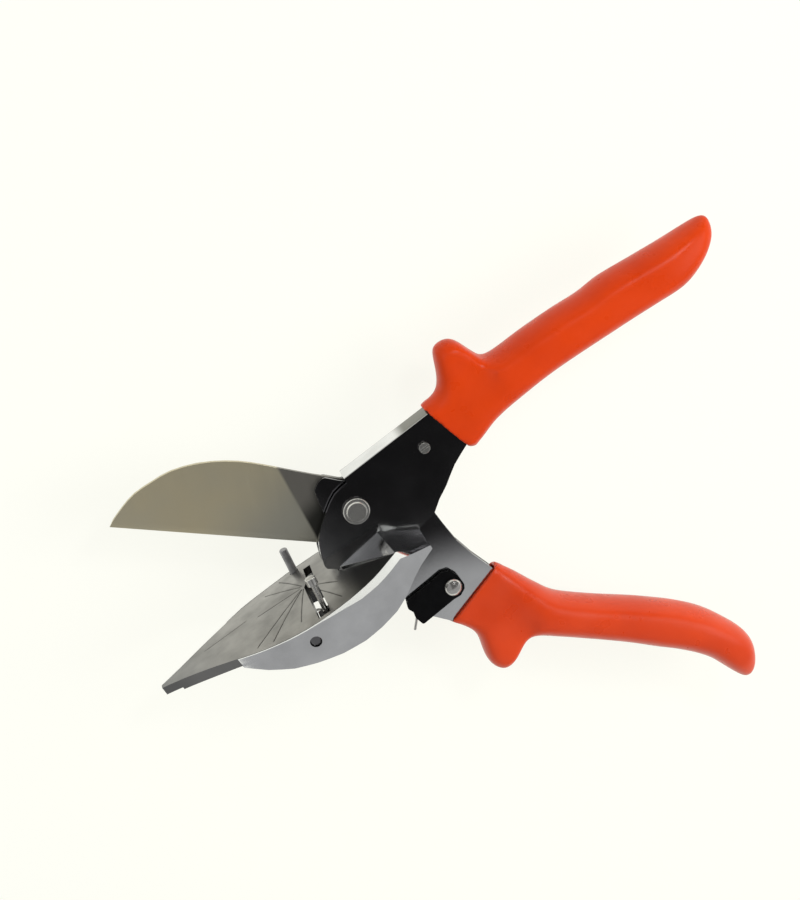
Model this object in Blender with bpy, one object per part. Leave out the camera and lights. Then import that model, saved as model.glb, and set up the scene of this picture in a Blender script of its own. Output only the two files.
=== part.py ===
# Mitre shears: a blade lever that swings down on a leaf-shaped anvil, with dipped grips.
# Lengths are in metres. The tool lies on its far flank: the pivot axis is the world Z axis,
# +Z points at the near side, and the anvil runs along -X from the pivot.
# World zero is the middle of the pivot bolt's head face.
# The blade lever's tables are written for the closed tool, and its empty swings it open.

import math

import bmesh
import bpy
from mathutils import Matrix, Vector


# Clearances and fineness
clearance = 0.0003
overrun = 0.004
embed = 0.0006
arc_steps = 4
curve_steps = 2
round_sides = 28
small_sides = 16
trim_share = 0.45
flat_corner = math.radians(156)

# Pivot
open_angle = math.radians(41.8)
pivot_radius = 0.0030
pivot_head_radius = 0.0043
pivot_head_height = 0.0012
pivot_boss_radius = 0.0033
pivot_boss_height = 0.0006
pivot_nut_radius = 0.0050
pivot_nut_height = 0.0032
bolt_tail = 0.0010
washer_radius = 0.0060
washer_thickness = 0.0004

# Anvil lever: a folded steel channel whose two cheeks flare into flanks round the anvil
sheet_thickness = 0.0013
channel_width = 0.0088
spine_rise = 0.0130
spine_front = 0.0022
spine_front_rise = 0.0108
spine_fold_radius = 0.0011
corner_radius = 0.0015
neck_reach = 0.0403
tang_height = 0.0104
lobe_reach = 0.0180
lobe_drop = 0.0123
knee_reach = 0.0013
knee_drop = 0.0098
heel_reach = 0.0128
heel_drop = 0.0170
heel_nose_reach = 0.0196
heel_nose_drop = 0.0158
flank_front_reach = 0.0560
flank_depth = 0.0295
flank_lean = 0.10

# Anvil plate
anvil_drop = 0.0130
anvil_reach = 0.0825
anvil_rear_reach = 0.0030
anvil_half_width = 0.0245
anvil_crown = 0.0022
anvil_thickness = 0.0036
anvil_rear_gap = 0.0006
nose_step_length = 0.0058
nose_step_height = 0.0008
tongue_reach = 0.0045
slot_width = 0.0026
slot_near_width = 0.0044
slot_reach = 0.0246
slot_near_inset = 0.0014
slot_far_inset = 0.0085
lug_length = 0.0066
lug_depth = 0.0074
lug_width = 0.0052
lug_inset = 0.0080
lug_reach = 0.0335
plate_pin_radius = 0.0016
plate_pin_length = 0.0053
plate_pin_drop = 0.0203
plate_pin_reach = 0.0325

# Stop pins that stand on the anvil: one fixed, one that slides along the slot
pin_lean = math.radians(9)
far_pin_radius = 0.00135
far_pin_rise = 0.0088
far_pin_reach = 0.0291
far_pin_inset = 0.0040
far_pin_seat = 0.0019
near_pin_radius = 0.00085
near_pin_rise = 0.0068
near_pin_inset = 0.0080
near_pin_head_radius = 0.0018
near_pin_head_height = 0.0026
foot_length = 0.0060
foot_thickness = 0.0016

# Blade lever: two leaves with the blade between them
blade_thickness = 0.0014
leaf_thickness = 0.0011
edge_gap = 0.00025
closing_slack = math.radians(0.3)
blade_reach = 0.0748
blade_heel_reach = 0.0102
blade_rise = 0.0113
blade_root_radius = 0.0112
blade_root_start = math.radians(-112)
blade_root_end = math.radians(56)
blade_root_steps = 6
bevel_height = 0.0022
bevel_edge = 0.0003
leaf_front_reach = 0.0135
leaf_rise = 0.0090
leaf_root_drop = 0.0115
leaf_waist_reach = 0.0477
leaf_waist_drop = 0.0352
tang_share = 0.80
lower_tang_rise = 0.0095
lower_tang_drop = 0.0350
rivet_radius = 0.0015
spring_pin_radius = 0.0010

# Closing stop through the neck of the channel
stop_reach = 0.0286
stop_rise = 0.0043
stop_radius = 0.0015
stop_head_radius = 0.0018
stop_head_height = 0.0009
stop_sleeve_radius = 0.0042
stop_nut_radius = 0.0029
stop_nut_height = 0.0022
screw_slot_width = 0.0006
screw_slot_depth = 0.0004

# Latch
latch_reach = 0.0157
latch_half_width = 0.0062
latch_thickness = 0.0015
latch_pivot_reach = 0.0351
latch_pivot_drop = 0.02296
latch_rest_angle = math.radians(-138.2)
latch_rivet_radius = 0.0016
latch_head_radius = 0.00295
latch_head_height = 0.0017
dome_sweep = math.radians(80)

# Return spring, hooked on a pin under the anvil and on a pin between the leaves
wire_radius = 0.00045
coil_radius = 0.0022
coil_pitch = 0.0015
coil_turns = 16
points_per_turn = 9
spring_front_reach = 0.0333
spring_front_drop = 0.0218
spring_rear_reach = 0.0242
spring_rear_drop = 0.0300
hook_steps = 7
hook_wrap = math.radians(240)
tail_wrap = math.radians(108)
hook_tail = 0.0096
spring_lug_gap = 0.0030
spring_lug_width = 0.0024

# Grips
grip_wall = 0.0013
grip_half_thickness = 0.0092
horn_half_thickness = 0.0058
upper_grip_mouth = 0.04044
upper_grip_reach = 0.1414
upper_grip_rise = 0.0115
lower_grip_mouth = 0.04874
lower_grip_reach = 0.1442
section_steps = 9
edge_share = 0.65
butt_share = 0.85
upper_body_share = 1.45
lower_body_share = 0.43
horn_span_share = 1.15
horn_start_share = 0.6
horn_blend_share = 0.5

# Sizes that follow from the ones above
channel_half = channel_width / 2
cheek_inner = channel_half - sheet_thickness
leaf_inner = blade_thickness / 2 + clearance
leaf_outer = leaf_inner + leaf_thickness
head_seat = channel_half + clearance
head_face = head_seat + pivot_head_height + pivot_boss_height
anvil_floor = anvil_drop + anvil_thickness
blade_drop = anvil_drop - edge_gap
lug_offset = anvil_half_width - lug_inset
slot_near_end = anvil_half_width - slot_near_inset
slot_far_end = anvil_half_width - slot_far_inset
far_pin_offset = anvil_half_width - far_pin_inset
near_pin_offset = anvil_half_width - near_pin_inset
upper_tang_reach = upper_grip_reach * tang_share - corner_radius
lower_tang_reach = lower_grip_reach * tang_share
tongue_half_width = cheek_inner - clearance

# Finishes: colour, roughness and metallic value
steel = ((0.42, 0.41, 0.42), 0.18, 1)
cast_zinc = ((0.46, 0.45, 0.43), 0.38, 1)
blade_steel = ((0.40, 0.38, 0.35), 0.30, 1)
black_steel = ((0.012, 0.012, 0.013), 0.35, 0.8)
bright_steel = ((0.62, 0.61, 0.60), 0.20, 1)
orange_vinyl = ((0.72, 0.065, 0.008), 0.28, 0)


# Outline of the cheek's front lobe, from the spine round to its lower corner
lobe_shares = (
    (0.167, 0.732),
    (-0.139, 0.667),
    (-0.417, 0.423),
    (-0.667, 0.146),
    (-0.828, -0.089),
    (-0.922, -0.366),
    (-0.989, -0.650),
    (-1.000, -0.862),
    (-0.844, -1.000),
)
# Where the straight tang starts, as a share of the neck's reach
tang_start_share = 1.4
# Underside of the neck, from the heel to the grip's mouth
neck_shares = (
    (0.583, -0.753),
    (0.690, -0.606),
    (0.829, -0.371),
    (1.000, -0.176),
    (1.220, 0.090),
)
# Anvil plan: place, half width and fall of the edge below the middle
plan_shares = (
    (-1.000, 0.042, 0.00),
    (-0.909, 0.184, 0.02),
    (-0.800, 0.390, 0.09),
    (-0.703, 0.580, 0.27),
    (-0.606, 0.773, 0.48),
    (-0.521, 0.882, 0.73),
    (-0.436, 0.957, 0.92),
    (-0.339, 1.000, 1.00),
    (-0.242, 0.988, 1.00),
    (-0.164, 0.951, 0.96),
    (-0.085, 0.886, 0.82),
    (-0.024, 0.808, 0.55),
    (0.036, 0.710, 0.30),
)
# Flank beside the plan: place, rim width and lower edge
flank_shares = (
    (-0.679, 0.008, 0.586),
    (-0.606, 0.008, 0.722),
    (-0.521, 0.009, 0.844),
    (-0.436, 0.010, 0.915),
    (-0.339, 0.013, 0.976),
    (-0.242, 0.037, 1.000),
    (-0.164, 0.068, 0.980),
    (-0.085, 0.078, 0.949),
    (-0.024, 0.082, 0.892),
    (0.036, 0.078, 0.814),
)
# Flank behind the anvil: place, then drop and offset of the inner and outer rim, then lower edge
flank_rear_shares = (
    (0.547, 0.576, 0.636, 0.590, 0.718, 0.759),
    (1.000, 0.654, 0.547, 0.664, 0.612, 0.708),
)
# Blade's back from the pivot to the tip
blade_back_shares = (
    (-0.076, 0.779),
    (-0.191, 0.820),
    (-0.345, 0.925),
    (-0.457, 0.995),
    (-0.561, 0.980),
    (-0.676, 0.842),
    (-0.781, 0.560),
    (-0.849, 0.230),
    (-0.916, -0.159),
    (-0.959, -0.575),
    (-0.989, -0.947),
)
# Leaf's front corner, then its root round the pivot, then its belly and its upper side
leaf_front_shares = (
    (-0.444, 0.944),
    (-0.837, 1.000),
    (-0.941, 0.800),
    (-1.000, 0.500),
    (-0.726, -0.233),
)
leaf_root_shares = (
    (-0.52, -0.61),
    (0.00, -0.91),
    (0.52, -1.00),
    (1.10, -0.89),
)
leaf_belly_shares = (
    (0.440, 0.838),
    (0.539, 0.989),
    (0.642, 0.966),
    (0.790, 1.000),
)
leaf_top_shares = (
    (0.998, 0.460),
    (0.845, 0.341),
    (0.719, 0.222),
    (0.629, 0.105),
    (0.535, -0.026),
    (0.252, -0.256),
)
# Where the leaf's tang reaches its full rise, and half of it
leaf_step_shares = (1.47, 1.20)
# Strip between the leaves behind the blade
spacer_shares = (
    (0.62, 0.90),
    (1.50, 0.96),
    (1.50, 0.76),
    (1.00, 0.58),
    (0.80, 0.44),
    (0.62, 0.40),
)
blade_rivet_shares = ((0.29, 0.45), (-0.22, -0.64))
spacer_rivet_shares = ((0.375, 0.81), (0.472, 0.87))
latch_shares = (
    (0.955, -0.726),
    (0.892, -0.806),
    (0.038, -1.000),
    (-0.127, -0.871),
    (-0.210, -0.403),
    (-0.223, 0.226),
    (-0.178, 0.452),
    (-0.038, 0.645),
    (0.121, 0.613),
    (0.930, 0.790),
    (0.981, 0.258),
    (0.949, -0.081),
    (1.000, -0.387),
)
# Grip stations: inner point, outer point, thickness. Heights are shares of the lever's own rise or drop
upper_grip_shares = (
    (0.286, -0.446, 0.247, 1.270, 0.00),
    (0.298, -0.535, 0.265, 1.296, 0.03),
    (0.315, -0.500, 0.285, 1.330, 0.12),
    (0.334, -0.415, 0.302, 1.470, 0.26),
    (0.356, -0.310, 0.318, 1.809, 0.40),
    (0.369, -0.260, 0.336, 2.365, 0.50),
    (0.382, -0.228, 0.351, 2.478, 0.58),
    (0.400, -0.188, 0.376, 2.443, 0.68),
    (0.414, -0.163, 0.392, 2.243, 0.76),
    (0.424, -0.148, 0.402, 1.939, 0.82),
    (0.435, -0.136, 0.413, 1.609, 0.87),
    (0.449, -0.122, 0.424, 1.400, 0.92),
    (0.481, -0.085, 0.467, 1.374, 0.97),
    (0.540, -0.052, 0.530, 1.409, 1.00),
    (0.617, -0.065, 0.622, 1.391, 1.00),
    (0.672, -0.088, 0.679, 1.348, 1.00),
    (0.723, -0.105, 0.728, 1.405, 1.00),
    (0.803, -0.150, 0.799, 1.335, 1.00),
    (0.869, -0.190, 0.880, 1.255, 0.98),
    (0.908, -0.090, 0.926, 1.228, 0.90),
    (0.945, 0.104, 0.960, 1.215, 0.78),
    (0.973, 0.330, 0.982, 1.205, 0.62),
    (0.993, 0.570, 0.996, 1.185, 0.42),
    (1.003, 0.860, 1.005, 1.120, 0.18),
)
lower_grip_shares = (
    (0.338, 0.415, 0.254, 1.017, 0.00),
    (0.351, 0.432, 0.277, 1.043, 0.05),
    (0.365, 0.452, 0.306, 1.080, 0.18),
    (0.378, 0.471, 0.326, 1.142, 0.32),
    (0.392, 0.495, 0.344, 1.287, 0.44),
    (0.406, 0.520, 0.365, 1.403, 0.54),
    (0.419, 0.545, 0.390, 1.446, 0.62),
    (0.433, 0.570, 0.405, 1.430, 0.70),
    (0.447, 0.593, 0.418, 1.345, 0.77),
    (0.459, 0.616, 0.428, 1.195, 0.83),
    (0.472, 0.636, 0.445, 1.095, 0.90),
    (0.503, 0.663, 0.490, 1.080, 0.97),
    (0.576, 0.669, 0.576, 1.079, 1.00),
    (0.628, 0.664, 0.638, 1.083, 1.00),
    (0.679, 0.657, 0.687, 1.091, 1.00),
    (0.760, 0.662, 0.742, 1.110, 1.00),
    (0.811, 0.682, 0.784, 1.116, 1.00),
    (0.846, 0.706, 0.825, 1.134, 0.99),
    (0.877, 0.746, 0.856, 1.156, 0.97),
    (0.912, 0.803, 0.888, 1.194, 0.93),
    (0.943, 0.860, 0.918, 1.254, 0.86),
    (0.975, 0.955, 0.945, 1.308, 0.74),
    (0.993, 1.090, 0.964, 1.343, 0.58),
    (1.001, 1.225, 0.980, 1.366, 0.38),
    (1.001, 1.308, 0.991, 1.362, 0.16),
)


def clear_scene():
    for item in list(bpy.data.objects):
        bpy.data.objects.remove(item, do_unlink=True)


def make_empty(name, parent=None, location=(0, 0, 0), turn=0):
    empty = bpy.data.objects.new(name, None)
    empty.location = location
    empty.rotation_euler = (0, 0, turn)
    empty.parent = parent
    bpy.context.scene.collection.objects.link(empty)
    return empty


def new_object(name, data, parent, finish=None):
    """An object in the scene. With a finish it gets a material of its own."""
    item = bpy.data.objects.new(name, data)
    item.parent = parent
    bpy.context.scene.collection.objects.link(item)
    if finish:
        colour, roughness, metallic = finish
        material = bpy.data.materials.new(name + "_finish")
        material.use_nodes = True
        shader = material.node_tree.nodes["Principled BSDF"]
        shader.inputs["Base Color"].default_value = (*colour, 1)
        shader.inputs["Roughness"].default_value = roughness
        shader.inputs["Metallic"].default_value = metallic
        data.materials.append(material)
    return item


def finish_mesh(bm, name, smooth_angle=None):
    bmesh.ops.recalc_face_normals(bm, faces=bm.faces)
    mesh = bpy.data.meshes.new(name)
    bm.to_mesh(mesh)
    bm.free()
    if smooth_angle:
        mesh.shade_smooth()
        mesh.set_sharp_from_angle(angle=smooth_angle)
    return mesh


def raise_face(bm, corners, along):
    """A face through the corners, drawn out along a vector into a solid."""
    face = bm.faces.new([bm.verts.new(corner) for corner in corners])
    raised = bmesh.ops.extrude_face_region(bm, geom=[face])
    ends = [part for part in raised["geom"] if isinstance(part, bmesh.types.BMVert)]
    bmesh.ops.translate(bm, verts=ends, vec=along)


def prism(name, outline, low, high, parent, finish=None):
    """A flat outline in XY made solid between two heights."""
    bm = bmesh.new()
    raise_face(bm, [(x, y, low) for x, y in outline], (0, 0, high - low))
    return new_object(name, finish_mesh(bm, name), parent, finish)


def box(name, low, high, parent, finish=None):
    outline = ((low[0], low[1]), (high[0], low[1]), (high[0], high[1]), (low[0], high[1]))
    return prism(name, outline, low[2], high[2], parent, finish)


def turned(name, profile, parent, finish=None, centre=(0, 0), sides=round_sides):
    """A round solid about a line along Z. The profile is pairs of radius and height."""
    bm = bmesh.new()
    rings = []
    for radius, height in profile:
        circle = []
        for i in range(sides):
            angle = math.tau * i / sides
            place = (centre[0] + radius * math.cos(angle), centre[1] + radius * math.sin(angle), height)
            circle.append(bm.verts.new(place))
        rings.append(circle)
    for lower, upper in zip(rings, rings[1:]):
        for i in range(sides):
            bm.faces.new((lower[i], lower[(i + 1) % sides], upper[(i + 1) % sides], upper[i]))
    bm.faces.new(rings[0])
    bm.faces.new(rings[-1])
    return new_object(name, finish_mesh(bm, name, math.radians(40)), parent, finish)


def rod(name, radius, centre, low, high, parent, finish=None, sides=small_sides):
    return turned(name, ((radius, low), (radius, high)), parent, finish, centre, sides)


def leaning_rod(name, profile, foot, lean, parent, finish=None):
    """A turned pin whose axis starts at a foot and leans from +Y towards +X."""
    pin = turned(name, profile, parent, finish, sides=small_sides)
    turn = Matrix.Rotation(-lean, 4, "Z") @ Matrix.Rotation(-math.pi / 2, 4, "X")
    pin.data.transform(Matrix.Translation(foot) @ turn)
    return pin


def nut(name, radius, low, high, parent, finish, centre=(0, 0)):
    return turned(name, ((radius, low), (radius, high)), parent, finish, centre, 6)


def loft(name, sections, parent, finish=None):
    """Closed loops of equal count, skinned one to the next and capped."""
    bm = bmesh.new()
    loops = [[bm.verts.new(point) for point in section] for section in sections]
    for first, second in zip(loops, loops[1:]):
        count = len(first)
        for i in range(count):
            bm.faces.new((first[i], first[(i + 1) % count], second[(i + 1) % count], second[i]))
    bm.faces.new(loops[0])
    bm.faces.new(loops[-1])
    return new_object(name, finish_mesh(bm, name, math.radians(35)), parent, finish)


def boolean(target, tool, operation, solver):
    change = target.modifiers.new(operation.title(), "BOOLEAN")
    change.operation = operation
    change.solver = solver
    change.object = tool
    tool.hide_render = True
    tool.display_type = "WIRE"


def cut(target, *tools, solver="EXACT"):
    for tool in tools:
        boolean(target, tool, "DIFFERENCE", solver)


def join(target, *tools, solver="EXACT"):
    for tool in tools:
        boolean(target, tool, "UNION", solver)


def bore(target, radius, centre, reach, solver="EXACT"):
    """A hole along Z through a piece, a clearance wider than what passes through it."""
    cut(target, rod("bore", radius + clearance, centre, -reach, reach, target.parent), solver=solver)


def scaled(shares, width, height):
    return [(x * width, y * height) for x, y in shares]


def smooth(points, per_span=curve_steps):
    """A Catmull-Rom curve through rows of numbers, ends included."""
    padded = [points[0], *points, points[-1]]
    result = []
    for a, b, c, d in zip(padded, padded[1:], padded[2:], padded[3:]):
        for i in range(per_span):
            t = i / per_span
            row = []
            for p, q, r, s in zip(a, b, c, d):
                bend = 2 * p - 5 * q + 4 * r - s
                twist = 3 * q - p - 3 * r + s
                row.append((2 * q + (r - p) * t + bend * t * t + twist * t * t * t) / 2)
            result.append(tuple(row))
    result.append(tuple(points[-1]))
    return result


def read_row(rows, place):
    """The row of a table at a place in its first column, read in straight lines."""
    for low, high in zip(rows, rows[1:]):
        if place <= high[0]:
            part = (place - low[0]) / (high[0] - low[0])
            return tuple(a + (b - a) * part for a, b in zip(low, high))
    return tuple(rows[-1])


def rounded(points, radius):
    """The same closed outline with an arc at each corner that turns sharply."""
    result = []
    for i, point in enumerate(points):
        here = Vector(point)
        back = Vector(points[i - 1]) - here
        ahead = Vector(points[(i + 1) % len(points)]) - here
        half = back.angle(ahead) / 2
        if half > flat_corner / 2:
            result.append(tuple(here))
            continue
        trim = min(radius / math.tan(half), back.length * trim_share, ahead.length * trim_share)
        bend = trim * math.tan(half)
        middle = here + (back.normalized() + ahead.normalized()).normalized() * bend / math.sin(half)
        start = here + back.normalized() * trim - middle
        end = here + ahead.normalized() * trim - middle
        first = math.atan2(start.y, start.x)
        sweep = (math.atan2(end.y, end.x) - first + math.pi) % math.tau - math.pi
        for step in range(arc_steps + 1):
            angle = first + sweep * step / arc_steps
            result.append((middle.x + bend * math.cos(angle), middle.y + bend * math.sin(angle)))
    return result


def grown(points, margin):
    """The same counter-clockwise outline, moved outwards by a margin."""
    result = []
    for i, point in enumerate(points):
        here = Vector(point)
        back = (here - Vector(points[i - 1])).normalized()
        ahead = (Vector(points[(i + 1) % len(points)]) - here).normalized()
        first = Vector((back.y, -back.x))
        second = Vector((ahead.y, -ahead.x))
        moved = here + (first + second) * margin / (1 + first.dot(second))
        result.append(tuple(moved))
    return result


def anvil_rows():
    """Rows along the anvil: place, half width and height of the edge."""
    rows = [
        (along * anvil_reach, width * anvil_half_width, -anvil_drop - fall * anvil_crown)
        for along, width, fall in plan_shares
    ]
    return smooth(rows)


def flank_sections():
    """Sections of the near flank: place, then five corners as height and offset."""
    plan = anvil_rows()
    rows = [
        (along * anvil_reach, rim * anvil_half_width, -depth * flank_depth)
        for along, rim, depth in flank_shares
    ]
    places = [-flank_front_reach]
    places += [row[0] for row in plan if row[0] > embed - flank_front_reach]
    sections = []
    for place in places:
        _, half, edge = read_row(plan, place)
        _, rim, bottom = read_row(rows, place)
        inner = (edge, half + clearance)
        outer = (edge - rim, half + clearance + rim)
        sections.append((place, inner, outer, bottom))
    for along, inner_drop, inner_out, outer_drop, outer_out, depth in flank_rear_shares:
        inner = (-inner_drop * flank_depth, inner_out * anvil_half_width)
        outer = (-outer_drop * flank_depth, outer_out * anvil_half_width)
        sections.append((along * heel_reach, inner, outer, -depth * flank_depth))
    return sections


def flank_loops():
    loops = []
    for place, inner, outer, bottom in flank_sections():
        foot = outer[1] - (outer[0] - bottom) * flank_lean
        ledge = min(inner[0] - sheet_thickness, -anvil_floor - clearance)
        ledge = max(ledge, bottom + clearance)
        step = max(ledge - embed, bottom + clearance / 2)
        wall = outer[1] - (outer[0] - step) * flank_lean - sheet_thickness
        corners = (
            inner,
            outer,
            (bottom, foot),
            (bottom, foot - sheet_thickness),
            (step, min(wall, inner[1])),
            (ledge, inner[1]),
        )
        loops.append([(place, height, offset) for height, offset in corners])
    return loops


def spine_height(place):
    """Height of the spine's outer face, which climbs from its front to the end of the neck."""
    share = (place - spine_front) / (neck_reach - spine_front)
    return spine_front_rise + (spine_rise - spine_front_rise) * min(share, 1)


def cheek_outline():
    top = spine_rise
    lobe = smooth(scaled(lobe_shares, lobe_reach, lobe_drop))
    lobe[-1] = (lobe[-1][0], lobe[-1][1] - embed)
    heel = [
        (knee_reach, -knee_drop - embed),
        (heel_reach, -heel_drop - embed / 3),
        (heel_nose_reach, -heel_nose_drop),
    ]
    neck = smooth(scaled(neck_shares, neck_reach, heel_drop))
    low = top - tang_height
    tang = [
        (neck_reach * tang_start_share, low),
        (upper_tang_reach - corner_radius, low),
        (upper_tang_reach, low + corner_radius * 2),
        (upper_tang_reach, top - corner_radius),
        (upper_tang_reach - corner_radius, top),
        (neck_reach, top),
    ]
    return [(spine_front, spine_front_rise)] + lobe + heel + neck + tang


def deck(side):
    """The bent sheet between a cheek and its flank, behind the anvil."""
    sections = flank_sections()
    front = next(row for row in sections if row[0] >= anvil_rear_reach - embed)
    rear = sections[-1]
    inner = channel_half - embed
    lobe_corner = (lobe_shares[-1][0] * lobe_reach, -lobe_drop, inner)
    knee = (knee_reach, -knee_drop, inner)
    heel = (heel_reach, -heel_drop, inner)
    rear_corner = (heel_reach - clearance, rear[2][0] - clearance, rear[2][1] - clearance)
    outer_corner = (front[0] - clearance, front[2][0] - clearance, front[2][1] - clearance)
    inner_corner = (front[0] - clearance, front[1][0] - clearance / 2, front[1][1] + clearance / 3)
    top = (lobe_corner, knee, heel, rear_corner, outer_corner, inner_corner)
    bm = bmesh.new()
    above = [bm.verts.new((x, y, side * z)) for x, y, z in top]
    below = [bm.verts.new((x, y - sheet_thickness, side * z)) for x, y, z in top]
    for a, b, c in ((0, 1, 5), (1, 2, 3), (1, 3, 4), (1, 4, 5)):
        bm.faces.new((above[a], above[b], above[c]))
        bm.faces.new((below[c], below[b], below[a]))
    for i in range(len(top)):
        j = (i + 1) % len(top)
        bm.faces.new((above[i], below[i], below[j], above[j]))
    return new_object("deck", finish_mesh(bm, "deck"), tool_frame)


def flank(side):
    loops = [[(x, y, side * z) for x, y, z in loop] for loop in flank_loops()]
    return loft("flank", loops, tool_frame)


def build_anvil_lever():
    bm = bmesh.new()
    outline = rounded(cheek_outline(), corner_radius / 2)
    raise_face(bm, [(x, y, -channel_half) for x, y in outline], (0, 0, channel_width))
    ridge = [
        edge
        for edge in bm.edges
        if all(abs(vert.co.y - spine_height(vert.co.x)) < clearance / 10 for vert in edge.verts)
        and abs(edge.verts[0].co.z - edge.verts[1].co.z) < clearance
        and edge.calc_length() > corner_radius
    ]
    bmesh.ops.bevel(bm, geom=ridge, offset=spine_fold_radius, segments=2, profile=0.5, affect="EDGES")
    lever = new_object("anvil_lever", finish_mesh(bm, "anvil_lever"), tool_frame, steel)
    front = -lobe_reach - overrun
    rear = upper_tang_reach + overrun
    low = -heel_drop - overrun
    room = [(front, low), (rear, low)]
    room += [(x, spine_height(x) - sheet_thickness) for x in (rear, neck_reach, front)]
    cut(lever, prism("channel_slot", room, -cheek_inner, cheek_inner, tool_frame), solver="MANIFOLD")
    for side in (1, -1):
        join(lever, deck(side), flank(side), solver="MANIFOLD")
        ends = sorted((side * lug_offset, side * (anvil_half_width + overrun)))
        hole = rod("pin_bore", plate_pin_radius + clearance, plate_pin_place(), *ends, tool_frame)
        cut(lever, hole, solver="MANIFOLD")
    bore(lever, pivot_radius, (0, 0), channel_width, "MANIFOLD")
    bore(lever, stop_radius, (stop_reach, stop_rise), channel_width, "MANIFOLD")


def plate_pin_place():
    return (-plate_pin_reach, -plate_pin_drop)


def plan_prism(name, corners, low, high):
    """A cutter with a plan in X and Z, between two heights."""
    bm = bmesh.new()
    raise_face(bm, [(x, low, z) for x, z in corners], (0, high - low, 0))
    return new_object(name, finish_mesh(bm, name), tool_frame)


def build_anvil_plate():
    across_shares = (-1, -0.8, -0.55, -0.28, 0, 0.28, 0.55, 0.8, 1)
    sections = []
    for place, half, edge in anvil_rows():
        fall = -anvil_drop - edge
        top = [(place, -anvil_drop - fall * share * share, share * half) for share in across_shares]
        sections.append(top + [(place, -anvil_floor, half), (place, -anvil_floor, -half)])
    plate = loft("anvil_plate", sections, tool_frame, cast_zinc)
    nose_step = box(
        "nose_step",
        (-anvil_reach - overrun, -anvil_floor - overrun, -anvil_half_width),
        (-anvil_reach + nose_step_length, -anvil_floor + nose_step_height, anvil_half_width),
        tool_frame,
    )
    slot_rear = -slot_reach + slot_width / 2
    slot_plan = (
        (slot_rear, -slot_far_end),
        (slot_rear, slot_near_end),
        (slot_rear - slot_near_width, slot_near_end),
        (slot_rear - slot_near_width, 0),
        (slot_rear - slot_width, -slot_near_width),
        (slot_rear - slot_width, -slot_far_end),
    )
    slot = plan_prism("stop_slot", slot_plan, -anvil_floor - overrun, -anvil_drop + overrun)
    cut(plate, nose_step, slot)

    # Lugs under the plate: one at each flank for a cross pin, two in the middle for the spring
    low = -anvil_floor - lug_depth
    high = -anvil_floor + embed
    lug_places = ((lug_offset, lug_width), (spring_lug_gap / 2, spring_lug_width))
    for side in (1, -1):
        for offset, width in lug_places:
            inner, outer = sorted((side * offset, side * (offset + width)))
            corner = (-lug_reach - lug_length / 2, low, inner)
            opposite = (-lug_reach + lug_length / 2, high, outer)
            join(plate, box("lug", corner, opposite, tool_frame))
    for side in (1, -1):
        ends = sorted((side * (lug_offset + embed), side * anvil_half_width))
        cut(plate, rod("pin_bore", plate_pin_radius + clearance, plate_pin_place(), *ends, tool_frame))
    reach = spring_lug_gap / 2 + spring_lug_width + overrun
    bore(plate, spring_pin_radius, (-spring_front_reach, -spring_front_drop), reach)

    # Behind the decks' front edge only a tongue goes on between the cheeks
    sections = flank_sections()
    front = next(row for row in sections if row[0] >= anvil_rear_reach - embed)
    near_lobe = Vector((lobe_shares[-1][0] * lobe_reach, channel_half))
    near_rim = Vector((front[0], front[1][1]))
    along = (near_rim - near_lobe).normalized()
    margin = Vector((-along.y, along.x)) * anvil_rear_gap
    start = near_lobe + margin
    end = near_rim + margin + along * overrun
    back = anvil_rear_reach + overrun
    corners = (
        (start.x, tongue_half_width),
        tuple(start),
        tuple(end),
        (back, end.y),
        (back, tongue_half_width),
    )
    for side in (1, -1):
        plan = [(x, side * z) for x, z in corners]
        cut(plate, plan_prism("deck_room", plan, low - overrun, -anvil_drop + overrun))
    tail = box(
        "tongue_end",
        (-tongue_reach, -anvil_floor - overrun, -tongue_half_width - overrun),
        (back, -anvil_drop + overrun, tongue_half_width + overrun),
        tool_frame,
    )
    cut(plate, tail)

    hole_profile = (
        (far_pin_radius + clearance, -far_pin_seat - clearance),
        (far_pin_radius + clearance, overrun),
    )
    cut(plate, leaning_rod("pin_hole", hole_profile, far_pin_foot(), pin_lean, tool_frame))


def plate_top(place, offset):
    """Height of the anvil's crowned top at a place and an offset from the middle."""
    _, half, edge = read_row(anvil_rows(), place)
    return -anvil_drop + (edge + anvil_drop) * (offset / half) ** 2


def far_pin_foot():
    return (-far_pin_reach, plate_top(-far_pin_reach, far_pin_offset), -far_pin_offset)


def build_plate_pins():
    """Cross pins that hold the plate between the flanks, one at each side."""
    start = lug_offset + embed * 2
    end = start + plate_pin_length
    for name, side in (("plate_pin_near", 1), ("plate_pin_far", -1)):
        low, high = sorted((side * start, side * end))
        rod(name, plate_pin_radius, plate_pin_place(), low, high, tool_frame, bright_steel)


def build_stop_pins():
    profile = (
        (far_pin_radius, -far_pin_seat),
        (far_pin_radius, far_pin_rise - clearance),
        (far_pin_radius - clearance, far_pin_rise),
    )
    leaning_rod("stop_pin_far", profile, far_pin_foot(), pin_lean, tool_frame, steel)

    foot_high = -anvil_floor - clearance - plate_top(-slot_reach, near_pin_offset)
    foot_low = foot_high - foot_thickness
    profile = (
        (near_pin_radius, foot_low),
        (near_pin_radius, near_pin_rise),
        (near_pin_head_radius, near_pin_rise),
        (near_pin_head_radius, near_pin_rise + near_pin_head_height - clearance),
        (near_pin_head_radius - clearance, near_pin_rise + near_pin_head_height),
    )
    leaning_rod("stop_pin_near", profile, (0, 0, 0), pin_lean, stop_slide, bright_steel)
    half = foot_length / 2
    foot = box("stop_foot", (-half, foot_low, -half), (half, foot_high, half), stop_slide, steel)
    hole_profile = (
        (near_pin_radius + clearance, foot_low - overrun),
        (near_pin_radius + clearance, foot_high + overrun),
    )
    cut(foot, leaning_rod("foot_hole", hole_profile, (0, 0, 0), pin_lean, stop_slide))


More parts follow.
